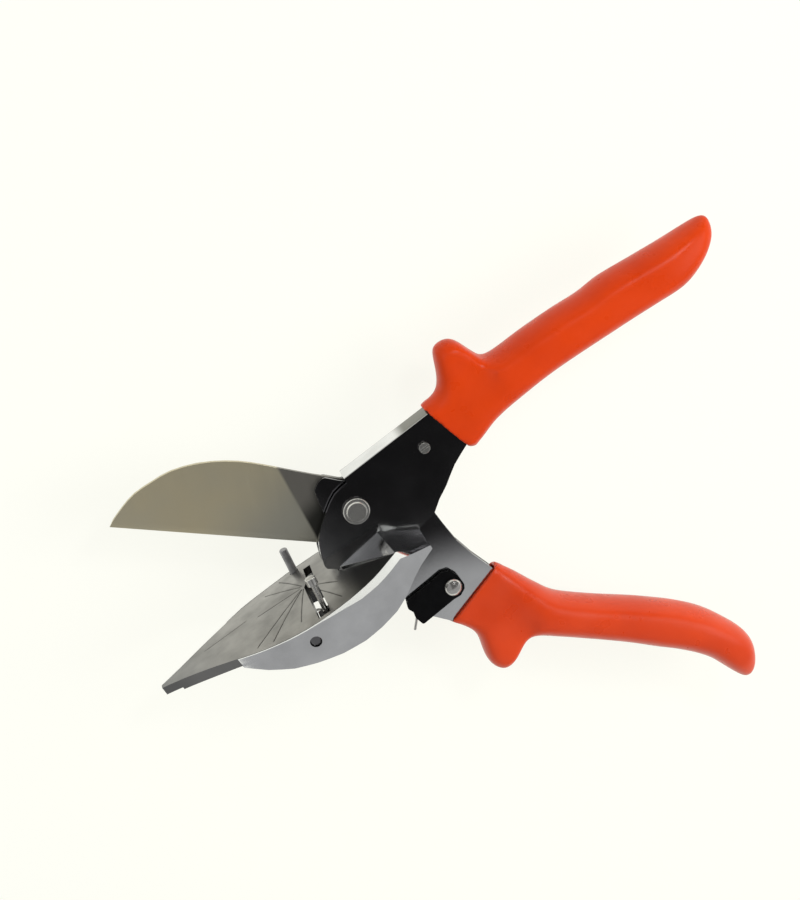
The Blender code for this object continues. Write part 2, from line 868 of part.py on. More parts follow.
def build_pivot():
    profile = (
        (pivot_radius, -head_seat - pivot_nut_height - bolt_tail),
        (pivot_radius, head_seat),
        (pivot_head_radius, head_seat),
        (pivot_head_radius, head_seat + pivot_head_height - clearance),
        (pivot_head_radius - clearance, head_seat + pivot_head_height),
        (pivot_boss_radius, head_seat + pivot_head_height),
        (pivot_boss_radius - clearance, head_face),
    )
    turned("pivot_bolt", profile, tool_frame, bright_steel)
    body = nut("pivot_nut", pivot_nut_radius, -head_seat - pivot_nut_height, -head_seat, tool_frame, steel)
    bore(body, pivot_radius, (0, 0), channel_width * 2)
    seat = leaf_outer + clearance
    for name, side in (("pivot_washer_near", 1), ("pivot_washer_far", -1)):
        low, high = sorted((side * seat, side * (seat + washer_thickness)))
        washer = rod(name, washer_radius, (0, 0), low, high, tool_frame, bright_steel, round_sides)
        bore(washer, pivot_radius, (0, 0), channel_width)


def build_closing_stop():
    place = (stop_reach, stop_rise)
    top = head_seat + stop_head_height
    profile = (
        (stop_radius, -head_seat - stop_nut_height - bolt_tail / 2),
        (stop_radius, head_seat),
        (stop_head_radius, head_seat),
        (stop_head_radius, top),
    )
    screw = turned("stop_screw", profile, tool_frame, bright_steel, place, small_sides)
    slot = box(
        "driver_slot",
        (stop_reach - overrun, stop_rise - screw_slot_width / 2, top - screw_slot_depth),
        (stop_reach + overrun, stop_rise + screw_slot_width / 2, top + overrun),
        tool_frame,
    )
    cut(screw, slot)
    half = cheek_inner - clearance
    sleeve = rod("stop_sleeve", stop_sleeve_radius, place, -half, half, tool_frame, steel, round_sides)
    bore(sleeve, stop_radius, place, channel_width)
    low = -head_seat - stop_nut_height
    body = nut("stop_nut", stop_nut_radius, low, -head_seat, tool_frame, steel, place)
    bore(body, stop_radius, place, channel_width * 2)


def leaf_outline():
    front = scaled(leaf_front_shares, leaf_front_reach, leaf_rise)
    root = scaled(leaf_root_shares, leaf_root_drop, leaf_root_drop)
    belly = scaled([(x, -y) for x, y in leaf_belly_shares], leaf_waist_reach, leaf_waist_drop)
    top = scaled([(x, -y) for x, y in leaf_top_shares], leaf_waist_reach, leaf_waist_drop)
    low = -lower_tang_drop
    high = low + lower_tang_rise
    tang = [
        (lower_tang_reach, low),
        (lower_tang_reach, high),
        (leaf_waist_reach * leaf_step_shares[0], high),
        (leaf_waist_reach * leaf_step_shares[1], (high - leaf_waist_drop * leaf_top_shares[0][1]) / 2),
    ]
    return front + root + belly + tang + top


def edge_height(place):
    """Height of the cutting edge, level with the anvil when the blade lever meets its stop."""
    return -blade_drop + place * math.tan(closing_slack)


def blade_outline():
    edge = [(-place, edge_height(-place)) for place in (blade_reach, blade_heel_reach)]
    root = []
    for step in range(blade_root_steps + 1):
        angle = blade_root_start + (blade_root_end - blade_root_start) * step / blade_root_steps
        root.append((blade_root_radius * math.cos(angle), blade_root_radius * math.sin(angle)))
    back = smooth(scaled(blade_back_shares, blade_reach, blade_rise))
    return edge + root + back


def build_blade():
    half = blade_thickness / 2
    blade = prism("blade", blade_outline(), -half, half, blade_swing, blade_steel)
    slope = (half - bevel_edge / 2) / bevel_height
    corners = (
        (-overrun, bevel_edge / 2 - slope * overrun),
        (bevel_height, half),
        (bevel_height, half + overrun),
        (-overrun, half + overrun),
    )
    for side in (1, -1):
        loops = []
        for place in (-blade_reach - overrun, -blade_heel_reach):
            loops.append([(place, edge_height(place) + y, side * z) for y, z in corners])
        cut(blade, loft("edge_bevel", loops, blade_swing))
    bore(blade, pivot_radius, (0, 0), channel_width)
    for place in scaled(blade_rivet_shares, blade_root_radius, blade_root_radius):
        bore(blade, rivet_radius, place, channel_width)


def flush_rivets(name, places):
    """Rivets that end level with the leaves' outer faces."""
    for number, place in enumerate(places, 1):
        rod(f"{name}_{number}", rivet_radius, place, -leaf_outer, leaf_outer, blade_swing, bright_steel)


def build_leaves():
    outline = rounded(leaf_outline(), corner_radius)
    rivet_place = (latch_pivot_reach, -latch_pivot_drop)
    spring_place = (spring_rear_reach, -spring_rear_drop)
    blade_rivets = scaled(blade_rivet_shares, blade_root_radius, blade_root_radius)
    spacer_rivets = [(x * lower_grip_reach, -y * leaf_waist_drop) for x, y in spacer_rivet_shares]
    for name, low, high in (
        ("blade_leaf_near", leaf_inner, leaf_outer),
        ("blade_leaf_far", -leaf_outer, -leaf_inner),
    ):
        leaf = prism(name, outline, low, high, blade_swing, steel)
        bore(leaf, pivot_radius, (0, 0), channel_width)
        bore(leaf, latch_rivet_radius, rivet_place, channel_width)
        bore(leaf, spring_pin_radius, spring_place, channel_width)
        for place in blade_rivets + spacer_rivets:
            bore(leaf, rivet_radius, place, channel_width)
    half = blade_thickness / 2
    spacer_outline = [(x * leaf_waist_reach, -y * leaf_waist_drop) for x, y in spacer_shares]
    spacer = prism("leaf_spacer", spacer_outline, -half, half, blade_swing, steel)
    bore(spacer, latch_rivet_radius, rivet_place, channel_width)
    for place in spacer_rivets:
        bore(spacer, rivet_radius, place, channel_width)
    flush_rivets("blade_rivet", blade_rivets)
    flush_rivets("spacer_rivet", spacer_rivets)
    ends = (-leaf_outer, leaf_outer)
    rod("spring_pin_moving", spring_pin_radius, spring_place, *ends, blade_swing, bright_steel)


def build_latch():
    low = leaf_outer + clearance
    high = low + latch_thickness
    outline = rounded(scaled(latch_shares, latch_reach, latch_half_width), corner_radius / 2)
    latch = prism("latch", outline, low, high, latch_swing, black_steel)
    bore(latch, latch_rivet_radius, (0, 0), channel_width)
    seat = high + clearance
    far_seat = -leaf_outer - clearance
    profile = [
        (latch_head_radius, far_seat - latch_head_height / 2),
        (latch_head_radius, far_seat),
        (latch_rivet_radius, far_seat),
        (latch_rivet_radius, seat),
    ]
    for step in range(arc_steps + 1):
        angle = dome_sweep * step / arc_steps
        profile.append((latch_head_radius * math.cos(angle), seat + latch_head_height * math.sin(angle)))
    place = (latch_pivot_reach, -latch_pivot_drop)
    turned("latch_rivet", profile, blade_swing, bright_steel, place)


def open_place(reach, drop):
    """Where a point of the closed blade lever lies when the tool is open."""
    swing = Matrix.Rotation(-open_angle, 3, "Z")
    return swing @ Vector((reach, -drop, 0))


def hook(centre, start, end, radius, steps):
    """Points of a loop round a pin, at angles measured from +X."""
    points = []
    for step in range(steps + 1):
        angle = start + (end - start) * step / steps
        points.append(centre + Vector((math.cos(angle), math.sin(angle), 0)) * radius)
    return points


def spring_points():
    """One wire: a hook on the plate's pin, the coil, and a hook with a tail on the lever's pin."""
    front = Vector((-spring_front_reach, -spring_front_drop, 0))
    rear = open_place(spring_rear_reach, spring_rear_drop)
    line = (rear - front).normalized()
    aside = Vector((-line.y, line.x, 0))
    up = Vector((0, 0, 1))
    square = math.atan2(aside.y, aside.x)
    hook_radius = spring_pin_radius + clearance + wire_radius
    coil_length = coil_pitch * coil_turns
    lead = ((rear - front).length - coil_length) / 2

    points = hook(front, square + hook_wrap, square, hook_radius, hook_steps + 2)
    shank = lead - coil_pitch
    points.append(front + line * shank / 2 + aside * hook_radius)
    points.append(front + line * shank + aside * coil_radius)
    count = coil_turns * points_per_turn
    for step in range(count + 1):
        angle = math.tau * step / points_per_turn
        reach = lead + coil_length * step / count
        points.append(front + line * reach + (aside * math.cos(angle) + up * math.sin(angle)) * coil_radius)
    points.append(rear - line * shank + aside * coil_radius)
    points.append(rear - line * shank / 2 + aside * hook_radius)
    points += hook(rear, square, square - tail_wrap, hook_radius, hook_steps)
    last = points[-1]
    out = (last - points[-2]).normalized()
    points.append(last + out * hook_tail / 2)
    points.append(last + out * hook_tail)
    return points


def least_gap(points):
    """Smallest clear distance between stretches of the wire that aren't neighbours."""
    skip = points_per_turn // 2
    best = math.inf
    for i, first in enumerate(points):
        for second in points[i + skip + 1:]:
            best = min(best, (first - second).length)
    return best - 2 * wire_radius


def build_spring():
    points = spring_points()
    curve = bpy.data.curves.new("return_spring", "CURVE")
    curve.dimensions = "3D"
    curve.bevel_depth = wire_radius
    curve.bevel_resolution = 1
    curve.use_fill_caps = True
    spline = curve.splines.new("POLY")
    spline.points.add(len(points) - 1)
    for place, point in zip(spline.points, points):
        place.co = (*point, 1)
    new_object("return_spring", curve, tool_frame, bright_steel)
    print("least gap of the spring to itself:", round(least_gap(points) * 1000, 2), "mm")
    pin_half = spring_lug_gap / 2 + spring_lug_width
    place = (-spring_front_reach, -spring_front_drop)
    rod("spring_pin_fixed", spring_pin_radius, place, -pin_half, pin_half, tool_frame, bright_steel)


def grip_sections(shares, mouth, reach, height, mouth_half, body_height):
    """Loops from the mouth to the butt, round at both edges, with a thinner finger horn."""
    mouth_share = shares[0][0]
    grow = (reach - mouth) / (1 - mouth_share)
    sections = []
    for inner_x, inner_y, outer_x, outer_y, swell in smooth(shares):
        inner = Vector((mouth + (inner_x - mouth_share) * grow, inner_y * height))
        outer = Vector((mouth + (outer_x - mouth_share) * grow, outer_y * height))
        span = (outer - inner).length
        body = mouth_half + (grip_half_thickness - mouth_half) * swell
        if inner_x > butt_share:
            body = grip_half_thickness * swell
        side = []
        for step in range(section_steps + 1):
            part = (1 - math.cos(math.pi * step / section_steps)) / 2
            thick = body
            if span > body_height * horn_span_share:
                past = span * part / body_height - horn_start_share
                beyond = min(max(past / horn_blend_share, 0), 1)
                thick = body + (min(horn_half_thickness, body) - body) * beyond
            room = thick * edge_share
            rise = min(span * part / room, 1)
            fall = min(span * (1 - part) / room, 1)
            depth = thick * math.sqrt(1 - (1 - rise) ** 2) * math.sqrt(1 - (1 - fall) ** 2)
            place = inner.lerp(outer, part)
            side.append((place.x, place.y, depth))
        sections.append(side + [(x, y, -z) for x, y, z in reversed(side[1:-1])])
    return sections


def build_grips():
    room = channel_half + clearance
    half = room + grip_wall
    rise = upper_grip_rise
    body = rise * upper_body_share
    sections = grip_sections(upper_grip_shares, upper_grip_mouth, upper_grip_reach, rise, half, body)
    grip = loft("upper_grip", sections, tool_frame, orange_vinyl)
    pocket = grown(rounded(cheek_outline(), corner_radius / 2), clearance)
    cut(grip, prism("tang_pocket", pocket, -room, room, tool_frame))

    room = leaf_outer + clearance
    half = room + grip_wall
    body = leaf_waist_drop * lower_body_share
    drop = -leaf_waist_drop
    sections = grip_sections(lower_grip_shares, lower_grip_mouth, lower_grip_reach, drop, half, body)
    grip = loft("lower_grip", sections, blade_swing, orange_vinyl)
    pocket = grown(rounded(leaf_outline(), corner_radius), clearance)
    cut(grip, prism("tang_pocket", pocket, -room, room, blade_swing))


clear_scene()
tool_frame = make_empty("tool_frame", location=(0, 0, -head_face))
blade_swing = make_empty("blade_swing", tool_frame, turn=-open_angle)
latch_place = (latch_pivot_reach, -latch_pivot_drop, 0)
latch_swing = make_empty("latch_swing", blade_swing, latch_place, latch_rest_angle)
slide_place = (-slot_reach, plate_top(-slot_reach, near_pin_offset), near_pin_offset)
stop_slide = make_empty("stop_slide", tool_frame, slide_place)

build_anvil_lever()
build_anvil_plate()
build_plate_pins()
build_stop_pins()
build_pivot()
build_closing_stop()
build_blade()
build_leaves()
build_latch()
build_spring()
build_grips()
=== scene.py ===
import math

import bmesh
import bpy
from mathutils import Matrix, Vector
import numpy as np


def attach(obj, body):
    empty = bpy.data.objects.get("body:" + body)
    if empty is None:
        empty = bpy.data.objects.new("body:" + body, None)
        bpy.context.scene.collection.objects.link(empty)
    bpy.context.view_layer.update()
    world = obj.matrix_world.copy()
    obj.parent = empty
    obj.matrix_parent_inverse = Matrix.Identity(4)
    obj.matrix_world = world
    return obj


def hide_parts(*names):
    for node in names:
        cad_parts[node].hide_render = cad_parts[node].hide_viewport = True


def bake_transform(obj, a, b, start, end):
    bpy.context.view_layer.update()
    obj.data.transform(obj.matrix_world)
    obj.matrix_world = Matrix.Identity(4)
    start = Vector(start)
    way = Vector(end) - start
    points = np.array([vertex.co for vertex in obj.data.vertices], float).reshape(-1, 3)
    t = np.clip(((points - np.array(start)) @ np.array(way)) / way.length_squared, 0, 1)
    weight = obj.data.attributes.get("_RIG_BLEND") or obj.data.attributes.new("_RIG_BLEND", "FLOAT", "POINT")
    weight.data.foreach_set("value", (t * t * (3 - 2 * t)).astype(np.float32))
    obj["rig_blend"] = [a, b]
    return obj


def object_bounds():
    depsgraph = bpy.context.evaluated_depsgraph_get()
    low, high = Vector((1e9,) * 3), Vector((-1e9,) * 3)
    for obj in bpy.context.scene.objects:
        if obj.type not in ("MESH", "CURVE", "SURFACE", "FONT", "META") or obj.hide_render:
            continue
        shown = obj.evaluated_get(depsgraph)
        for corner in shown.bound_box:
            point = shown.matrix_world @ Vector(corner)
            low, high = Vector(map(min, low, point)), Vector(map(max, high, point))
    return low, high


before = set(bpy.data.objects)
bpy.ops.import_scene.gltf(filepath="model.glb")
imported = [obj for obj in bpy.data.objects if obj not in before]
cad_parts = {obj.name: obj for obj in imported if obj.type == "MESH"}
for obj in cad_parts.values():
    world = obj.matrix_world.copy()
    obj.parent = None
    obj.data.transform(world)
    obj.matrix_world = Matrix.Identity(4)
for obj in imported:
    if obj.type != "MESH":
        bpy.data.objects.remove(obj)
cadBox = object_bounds()
mm = 0.001
pivotPlane = -6.5 * mm  # height of the blade's middle plane, under the bolt head's face
print("frame loaded:", len(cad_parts), "nodes")


# nodes of a material, by kind, with their inputs set or linked

def addNode(tree, kind, inputs=None, **settings):
    node = tree.nodes.new(kind)
    for name, value in settings.items():
        setattr(node, name, value)
    for name, value in (inputs or {}).items():
        if isinstance(value, bpy.types.NodeSocket):
            tree.links.new(value, node.inputs[name])
        else:
            node.inputs[name].default_value = value
    return node


def startMaterial(name, colour, roughness, metallic=1.0):
    # each finish links its patterns over the plain colour and roughness that are set here
    material = bpy.data.materials.new(name)
    material.use_nodes = True
    tree = material.node_tree
    shader = tree.nodes["Principled BSDF"]
    shader.inputs["Base Color"].default_value = (*colour, 1)
    shader.inputs["Roughness"].default_value = sum(roughness) / 2
    shader.inputs["Metallic"].default_value = metallic
    coords = addNode(tree, "ShaderNodeTexCoord").outputs["Object"]
    return material, tree, shader, coords


def noiseAt(tree, coords, size, detail, stretch=(1, 1, 1), turn=0.0):
    # size is the length of one blotch in metres; the pattern is turned, then stretched
    scaleBy = tuple(1 / (size * side) for side in stretch)
    place = addNode(tree, "ShaderNodeMapping", {"Vector": coords, "Rotation": (0, 0, turn)})
    grow = addNode(tree, "ShaderNodeVectorMath", {0: place.outputs[0], 1: scaleBy}, operation="MULTIPLY")
    noise = addNode(tree, "ShaderNodeTexNoise", {"Vector": grow.outputs[0], "Scale": 1.0, "Detail": detail})
    return noise.outputs["Fac"]


def remap(tree, value, low, high, fromLow=0.3, fromHigh=0.7):
    # most of a noise lies between 0.3 and 0.7
    ends = {"From Min": fromLow, "From Max": fromHigh, "To Min": low, "To Max": high}
    return addNode(tree, "ShaderNodeMapRange", {"Value": value, **ends}).outputs["Result"]


def calculate(tree, operation, first, second=0.0):
    return addNode(tree, "ShaderNodeMath", {0: first, 1: second}, operation=operation).outputs[0]


def mixColours(tree, factor, first, second, blend="MIX"):
    node = addNode(tree, "ShaderNodeMix", data_type="RGBA", blend_type=blend)
    for socket, value in ((0, factor), (6, first), (7, second)):
        if isinstance(value, bpy.types.NodeSocket):
            tree.links.new(value, node.inputs[socket])
        elif socket == 0:
            node.inputs[socket].default_value = value
        else:
            node.inputs[socket].default_value = (*value, 1)
    return node.outputs[2]


def linkRoughness(tree, shader, pattern, ends):
    tree.links.new(remap(tree, pattern, *ends), shader.inputs["Roughness"])


def bumpFrom(tree, shader, height, depth, strength=1.0, onTop=None):
    bump = addNode(tree, "ShaderNodeBump", {"Height": height, "Distance": depth, "Strength": strength})
    if onTop:
        tree.links.new(onTop, bump.inputs["Normal"])
    tree.links.new(bump.outputs["Normal"], shader.inputs["Normal"])
    return bump.outputs["Normal"]


def sweepAlong(tree, coords, start, end):
    # 0 at start, 1 at end, smooth between, read from the point's place
    start, end = Vector(start), Vector(end)
    along = end - start
    away = addNode(tree, "ShaderNodeVectorMath", {0: coords, 1: tuple(start)}, operation="SUBTRACT")
    scaled = tuple(along / along.length_squared)
    share = addNode(tree, "ShaderNodeVectorMath", {0: away.outputs[0], 1: scaled}, operation="DOT_PRODUCT")
    value = {"Value": share.outputs["Value"]}
    return addNode(tree, "ShaderNodeMapRange", value, interpolation_type="SMOOTHSTEP").outputs["Result"]


# finishes; a noise is given as its size in metres, its detail, its stretch and its turn,
# and a line as the two places between which one colour gives way to another

sheetSteel = {
    "bright": (0.84, 0.85, 0.86),
    # a painted dark reflection, mixed into the colour of the lever's cheeks and the leaf's upper part
    "darkReflection": (0.26, 0.255, 0.265),
    "leverReflectionLine": ((-0.010, -0.026, 0), (0.006, 0.000, 0)),
    "leafReflectionLine": ((0.008, -0.034, 0), (0.018, -0.022, 0)),
    "reflectionBeyond": (3.7, 4.15),  # mm from the middle plane, where the cheeks' painted dark reflection begins; the spine inside stays bright
    "reflectionWithin": (4.55, 4.80),  # and where it ends; the decks and flanks outside stay bright too
    "neck": (0.17, 0.17, 0.15),
    "neckLine": ((0.0225, 0, 0), (0.0270, 0, 0)),
    "wear": (0.88, 1.08),
    "roughness": (0.09, 0.14),
    "cloud": (0.012, 4.0),
    "grind": (0.00035, 2.0, (1, 6, 1)),
    "grindDepth": 0.000004,
}


def farFromMiddle(tree, coords, near, far):
    # 0 closer to the blade's plane than near, 1 beyond far, both in mm
    parts = addNode(tree, "ShaderNodeSeparateXYZ", {"Vector": coords})
    away = calculate(tree, "ABSOLUTE", calculate(tree, "SUBTRACT", parts.outputs["Z"], pivotPlane))
    return remap(tree, away, 0.0, 1.0, near * mm, far * mm)


def makeSheetSteel(name, reflectionLine, folded=False):
    material, tree, shader, coords = startMaterial(name, sheetSteel["bright"], sheetSteel["roughness"])
    cloud = noiseAt(tree, coords, *sheetSteel["cloud"])
    grind = noiseAt(tree, coords, *sheetSteel["grind"])
    # painted dark reflection along the line; on the folded lever only on its cheeks
    shade = sweepAlong(tree, coords, *reflectionLine)
    if folded:
        outside = farFromMiddle(tree, coords, *sheetSteel["reflectionBeyond"])
        beyond = farFromMiddle(tree, coords, *sheetSteel["reflectionWithin"])
        cheekOnly = calculate(tree, "SUBTRACT", outside, beyond)
        shade = calculate(tree, "MULTIPLY", shade, cheekOnly)
    base = mixColours(tree, shade, sheetSteel["bright"], sheetSteel["darkReflection"])
    if folded:
        inside = calculate(tree, "SUBTRACT", 1.0, outside)
        nearGrip = sweepAlong(tree, coords, *sheetSteel["neckLine"])
        neck = calculate(tree, "MULTIPLY", inside, nearGrip)
        base = mixColours(tree, neck, base, sheetSteel["neck"])
    worn = remap(tree, cloud, *sheetSteel["wear"])
    tinted = addNode(tree, "ShaderNodeHueSaturation", {"Color": base, "Value": worn})
    tree.links.new(tinted.outputs["Color"], shader.inputs["Base Color"])
    linkRoughness(tree, shader, cloud, sheetSteel["roughness"])
    bumpFrom(tree, shader, grind, sheetSteel["grindDepth"])
    return material


castMetal = {
    "light": (0.36, 0.35, 0.335),
    "dark": (0.25, 0.245, 0.235),
    "darkShare": (0.35, 0.75),
    "shaded": (0.07, 0.069, 0.068),  # painted shade and dark reflection where the decks cover the casting
    "shadedLine": ((-0.0170, 0, 0), (-0.0105, 0, 0)),
    "paintedShade": (0.035, 0.034, 0.032),  # painted shade in the pressed lines, the slot and along the rim
    "sidesAndNose": (0.22, 0.22, 0.222),  # painted shade on the sides; darker towards the nose too
    "noseLine": ((-0.050, 0, 0), (-0.090, 0, 0)),
    "sideFacing": (0.2, 0.6),  # the normal's share along +Y, from a side in painted shade to the top
    "roughness": (0.30, 0.46),
    "cloud": (0.009, 4.0),
    "grain": (0.0003, 3.0),
    "grainDepth": 0.000012,
}


def makeCastMetal():
    material, tree, shader, coords = startMaterial("castMetal", castMetal["light"], castMetal["roughness"])
    cloud = noiseAt(tree, coords, *castMetal["cloud"])
    grain = noiseAt(tree, coords, *castMetal["grain"])
    blotches = remap(tree, cloud, 0.0, 1.0, *castMetal["darkShare"])
    colour = mixColours(tree, blotches, castMetal["light"], castMetal["dark"])
    # painted shade under the decks
    covered = sweepAlong(tree, coords, *castMetal["shadedLine"])
    colour = mixColours(tree, covered, colour, castMetal["shaded"])
    facing = addNode(tree, "ShaderNodeTexCoord").outputs["Normal"]
    upward = addNode(tree, "ShaderNodeSeparateXYZ", {"Vector": facing}).outputs["Y"]
    # painted shade on the sides that face away from the top
    sideOn = remap(tree, upward, 1.0, 0.0, *castMetal["sideFacing"])
    nose = sweepAlong(tree, coords, *castMetal["noseLine"])
    sidesAndNose = calculate(tree, "MAXIMUM", sideOn, nose)
    colour = mixColours(tree, sidesAndNose, colour, castMetal["sidesAndNose"])
    # painted shade carried by the plate's points
    shadeInRecesses = addNode(tree, "ShaderNodeAttribute", attribute_name="paintedShade").outputs["Fac"]
    colour = mixColours(tree, shadeInRecesses, colour, castMetal["paintedShade"])
    tree.links.new(colour, shader.inputs["Base Color"])
    linkRoughness(tree, shader, cloud, castMetal["roughness"])
    bumpFrom(tree, shader, grain, castMetal["grainDepth"])
    return material


bladeFinish = {
    "ground": (0.58, 0.53, 0.39),
    "warm": (0.61, 0.54, 0.37),
    "heel": (0.42, 0.41, 0.35),
    "heelLine": ((-0.0270, 0.0280, 0), (-0.0210, 0.0060, 0)),
    # root and rootDeep: painted shadow and reflection where the leaves hold the blade, deepest near the
    # pivot
    "root": (0.22, 0.21, 0.19),
    "rootDeep": (0.045, 0.045, 0.040),
    "rootLine": ((-0.0142, 0.01205, 0), (-0.0131, 0.01193, 0)),  # from the ground side to the root side
    "deepLine": ((-0.0135, 0.0120, 0), (-0.0120, 0.0040, 0)),
    "metallic": 0.8,
    "roughness": (0.33, 0.41),
    "cloud": (0.016, 3.0),
    "grind": (0.0004, 3.0, (1, 40, 1), 0.35),
    "grindDepth": 0.000003,
}


def makeBladeSteel():
    material, tree, shader, coords = startMaterial(
        "bladeSteel", bladeFinish["ground"], bladeFinish["roughness"], bladeFinish["metallic"]
    )
    cloud = noiseAt(tree, coords, *bladeFinish["cloud"])
    grind = noiseAt(tree, coords, *bladeFinish["grind"])
    ground = mixColours(tree, remap(tree, cloud, 0.0, 1.0), bladeFinish["ground"], bladeFinish["warm"])
    atHeel = sweepAlong(tree, coords, *bladeFinish["heelLine"])
    ground = mixColours(tree, atHeel, ground, bladeFinish["heel"])
    # painted shadow and reflection on the blade's root
    deepIn = sweepAlong(tree, coords, *bladeFinish["deepLine"])
    root = mixColours(tree, deepIn, bladeFinish["root"], bladeFinish["rootDeep"])
    atRoot = sweepAlong(tree, coords, *bladeFinish["rootLine"])
    tree.links.new(mixColours(tree, atRoot, ground, root), shader.inputs["Base Color"])
    linkRoughness(tree, shader, grind, bladeFinish["roughness"])
    bumpFrom(tree, shader, grind, bladeFinish["grindDepth"])
    return material


plainMetal = {
    # colour, roughness, metallic
    "satinSteel": ((0.46, 0.46, 0.48), (0.50, 0.60), 0.85),
    "blackOxide": ((0.022, 0.022, 0.023), (0.38, 0.52), 1.0),
    "brightPlate": ((0.72, 0.71, 0.69), (0.14, 0.24), 0.9),
    "dullSteel": ((0.36, 0.36, 0.37), (0.26, 0.36), 1.0),
    "dulledTo": 0.72,
    "cloud": (0.003, 4.0),
    "grain": (0.0002, 2.0),
    "grainDepth": 0.000005,
}


def makePlainMetal(name):
    colour, roughness, metallic = plainMetal[name]
    material, tree, shader, coords = startMaterial(name, colour, roughness, metallic)
    cloud = noiseAt(tree, coords, *plainMetal["cloud"])
    grain = noiseAt(tree, coords, *plainMetal["grain"])
    dull = tuple(channel * plainMetal["dulledTo"] for channel in colour)
    tree.links.new(mixColours(tree, remap(tree, cloud, 0.0, 1.0), colour, dull), shader.inputs["Base Color"])
    linkRoughness(tree, shader, cloud, roughness)
    bumpFrom(tree, shader, grain, plainMetal["grainDepth"])
    return material


vinyl = {
    "orange": (0.60, 0.044, 0.002),
    "deep": (0.52, 0.034, 0.0015),
    "upperGloss": 0.16,
    "lowerGloss": 0.40,
    "roughness": (0.26, 0.36),
    "cloud": (0.022, 3.0),
    "wave": (0.006, 2.0),
    "waveBump": (0.00012, 0.5),  # depth and strength
    "pebble": (0.00055, 2.0),
    "pebbleBump": (0.000008, 0.3),
}


def makeVinyl(name, gloss):
    material, tree, shader, coords = startMaterial(name, vinyl["orange"], vinyl["roughness"], 0.0)
    shader.inputs["Specular IOR Level"].default_value = gloss
    cloud = noiseAt(tree, coords, *vinyl["cloud"])
    wave = noiseAt(tree, coords, *vinyl["wave"])
    pebble = noiseAt(tree, coords, *vinyl["pebble"])
    colour = mixColours(tree, remap(tree, cloud, 0.0, 1.0), vinyl["orange"], vinyl["deep"])
    tree.links.new(colour, shader.inputs["Base Color"])
    linkRoughness(tree, shader, wave, vinyl["roughness"])
    broad = bumpFrom(tree, shader, wave, *vinyl["waveBump"])
    bumpFrom(tree, shader, pebble, *vinyl["pebbleBump"], broad)
    return material


steelLever = makeSheetSteel("leverSteel", sheetSteel["leverReflectionLine"], folded=True)
steelLeaf = makeSheetSteel("leafSteel", sheetSteel["leafReflectionLine"])
castPlate = makeCastMetal()
bladeSteel = makeBladeSteel()
satinSteel = makePlainMetal("satinSteel")
blackened = makePlainMetal("blackOxide")
plated = makePlainMetal("brightPlate")
dullSteel = makePlainMetal("dullSteel")
upperVinyl = makeVinyl("upperVinyl", vinyl["upperGloss"])
lowerVinyl = makeVinyl("lowerVinyl", vinyl["lowerGloss"])
print("materials made:", len(bpy.data.materials))


# pieces: a merged copy of the frame's node is the start of most of them

edgeCare = {
    "mergeWithin": 0.002,  # mm
    "flatWithin": 0.6,  # degrees, as are the three below
    "easedPast": 28,
    "sharpPast": 34,
    "neverSharp": 180,
    "easeSegments": 2,
}


def takeCopy(nodeName):
    bm = bmesh.new()
    bm.from_mesh(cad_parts[nodeName].data)
    bmesh.ops.remove_doubles(bm, verts=bm.verts, dist=edgeCare["mergeWithin"] * mm)
    flat = math.radians(edgeCare["flatWithin"])
    bmesh.ops.dissolve_limit(bm, angle_limit=flat, verts=bm.verts, edges=bm.edges)
    return bm


def easeEdges(bm, width):
    limit = math.radians(edgeCare["easedPast"])
    edges = [edge for edge in bm.edges if len(edge.link_faces) == 2 and edge.calc_face_angle() > limit]
    bmesh.ops.bevel(
        bm, geom=edges, offset=width * mm, affect="EDGES", segments=edgeCare["easeSegments"],
        profile=0.5, material=-1, clamp_overlap=True,
    )


def addPiece(bm, name, body, material, replaced, sharpAngle=edgeCare["sharpPast"]):
    mesh = bpy.data.meshes.new(name)
    bm.to_mesh(mesh)
    bm.free()
    mesh.shade_smooth()
    mesh.set_sharp_from_angle(angle=math.radians(sharpAngle))
    mesh.materials.append(material)
    piece = bpy.data.objects.new(name, mesh)
    bpy.context.scene.collection.objects.link(piece)
    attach(piece, body)
    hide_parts(*replaced)
    return piece


def evenShading(piece):
    weigh = piece.modifiers.new("Weigh", "WEIGHTED_NORMAL")
    weigh.keep_sharp = True


# steel pieces that keep the frame's shape, with eased edges

